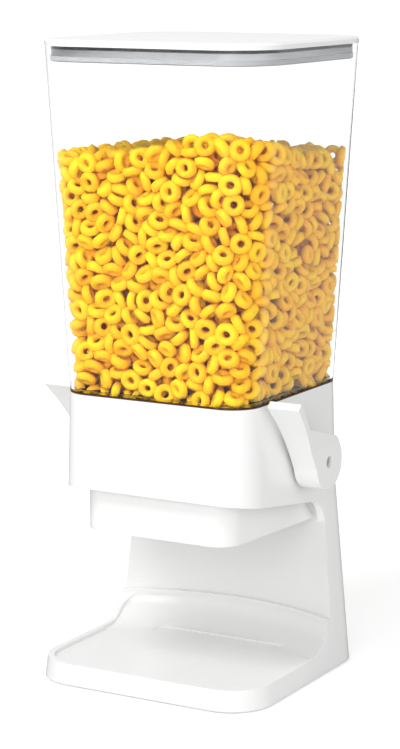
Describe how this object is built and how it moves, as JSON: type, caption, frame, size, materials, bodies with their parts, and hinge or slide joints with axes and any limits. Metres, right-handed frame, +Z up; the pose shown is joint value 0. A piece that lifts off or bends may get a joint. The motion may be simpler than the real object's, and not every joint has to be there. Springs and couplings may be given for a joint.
{
  "type": "cereal container",
  "caption": "Countertop cereal container: a clear tapered hopper with a lift-off lid on a C-shaped stand, with side levers that tip a flap gate open over the bowl bay.",
  "frame": {"origin": "on the table, under the middle of the container's overall depth and width", "axes": "+X to the container's right hand seen from its front, +Y to the back, +Z up along the hopper"},
  "size_m": [0.174, 0.156, 0.3838],
  "materials": {
    "white_plastic": "smooth moulded white, satin gloss",
    "clear_plastic": "clear moulded plastic",
    "grey_insert": "translucent grey moulding",
    "inner_plastic": "natural white moulding, fine texture",
    "black_rubber": "moulded rubber",
    "grey_silicone": "soft silicone",
    "brown_silicone": "soft dark brown silicone",
    "bush_nylon": "natural nylon",
    "steel": "plain zinc-plated steel"
  },
  "bodies": {
    "stand": {"stand": "white_plastic", "base_cover": "inner_plastic", "back_cover": "white_plastic", "rubber_feet": "black_rubber", "base_screws": "steel", "back_screws": "steel", "collar_gasket": "brown_silicone", "funnel": "inner_plastic", "funnel_screws": "steel", "outlet_chute": "white_plastic", "chute_screws": "steel", "bush_left": "bush_nylon", "bush_right": "bush_nylon", "return_spring_left": "steel", "return_spring_right": "steel"},
    "gate": {"gate_flap": "inner_plastic", "gate_seal": "grey_silicone", "pivot_shafts": "steel", "lever_left": "white_plastic", "lever_right": "white_plastic", "lever_screws": "steel", "lever_washers": "steel"},
    "hopper": {"hopper": "clear_plastic"},
    "lid": {"lid_top": "white_plastic", "lid_insert": "grey_insert", "lid_seal": "grey_silicone"}
  },
  "joints": [
    {"name": "gate_hinge", "type": "hinge", "parent": "stand", "child": "gate", "pos_m": [0, 0.00955, 0.135], "axis": [1, 0, 0], "range_deg": [0, 35], "stiffness_Nm_per_rad": 0.4, "springref_deg": -20.05, "deforming": ["return_spring_left", "return_spring_right"]},
    {"name": "hopper_lift", "type": "slide", "parent": "stand", "child": "hopper", "axis": [0, 0, 1], "range_m": [0, 0.06]},
    {"name": "lid_lift", "type": "slide", "parent": "hopper", "child": "lid", "axis": [0, 0, 1], "range_m": [0, 0.05]}
  ]
}
